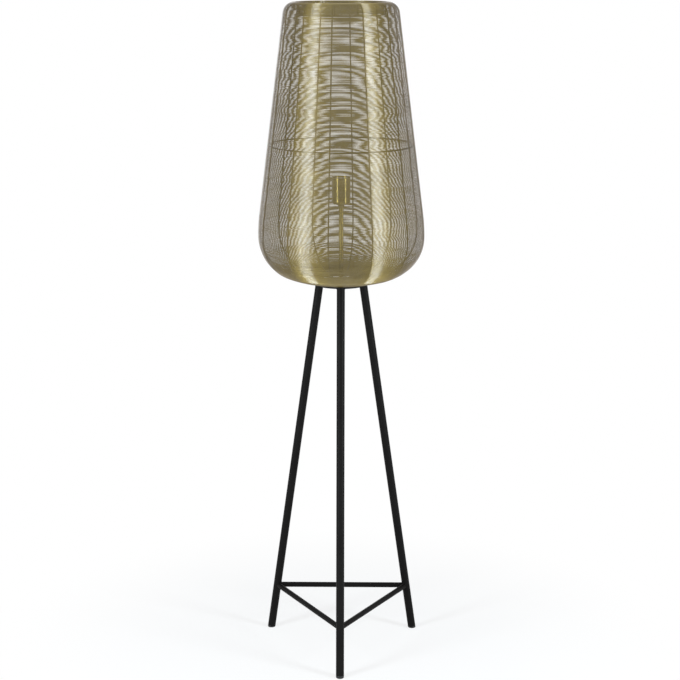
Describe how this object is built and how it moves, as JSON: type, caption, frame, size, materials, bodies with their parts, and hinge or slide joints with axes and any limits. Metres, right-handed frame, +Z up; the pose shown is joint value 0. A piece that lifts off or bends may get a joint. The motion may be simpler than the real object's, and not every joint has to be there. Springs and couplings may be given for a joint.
{
  "type": "wire cage floor lamp",
  "caption": "Floor lamp with a tall open-topped shade of ribs wound with fine wire, on a slim black tripod with a low triangle of brace bars.",
  "frame": {"origin": "on the lamp's vertical axis, at floor level under the centre of the tripod", "axes": "+Z up along the stem and the shade's axis; -Y towards the front leg; +X to the right seen from the front leg"},
  "size_m": [0.3692, 0.387, 1.4704],
  "materials": {
    "black_steel": "satin black powder coat",
    "black_plastic": "moulded black plastic",
    "cage_brass": "antique brass plating on steel wire",
    "wire_brass": "antique brass plating on fine steel wire",
    "holder_brass": "satin antique brass",
    "insert_ceramic": "glazed white ceramic",
    "contact_brass": "bare brass",
    "plated_steel": "zinc plated"
  },
  "bodies": {
    "lamp": {"brace_left": "black_steel", "brace_rear": "black_steel", "brace_right": "black_steel", "cage_base": "cage_brass", "collar_ring": "cage_brass", "contact_spring": "plated_steel", "cord_bush": "black_plastic", "earth_screw": "plated_steel", "foot_caps": "black_plastic", "holder_cup": "holder_brass", "holder_insert": "insert_ceramic", "leg_front": "black_steel", "leg_left": "black_steel", "leg_right": "black_steel", "live_strip": "contact_brass", "mid_ring": "cage_brass", "neutral_strip": "contact_brass", "rib_01": "cage_brass", "rib_02": "cage_brass", "rib_03": "cage_brass", "rib_04": "cage_brass", "rib_05": "cage_brass", "rib_06": "cage_brass", "rib_07": "cage_brass", "rib_08": "cage_brass", "rib_09": "cage_brass", "rib_10": "cage_brass", "rib_11": "cage_brass", "rib_12": "cage_brass", "screw_shell": "contact_brass", "stem": "holder_brass", "stem_nuts": "holder_brass", "terminal_blocks": "contact_brass", "terminal_screws": "plated_steel", "top_plate": "black_steel", "winding": "wire_brass"},
    "contact": {"centre_contact": "contact_brass"}
  },
  "joints": [
    {"name": "contact_press", "type": "slide", "parent": "lamp", "child": "contact", "axis": [0, 0, 1], "range_m": [-0.0015, 0], "stiffness_N_per_m": 1500, "springref_m": 0.001, "deforming": ["contact_spring"]}
  ]
}
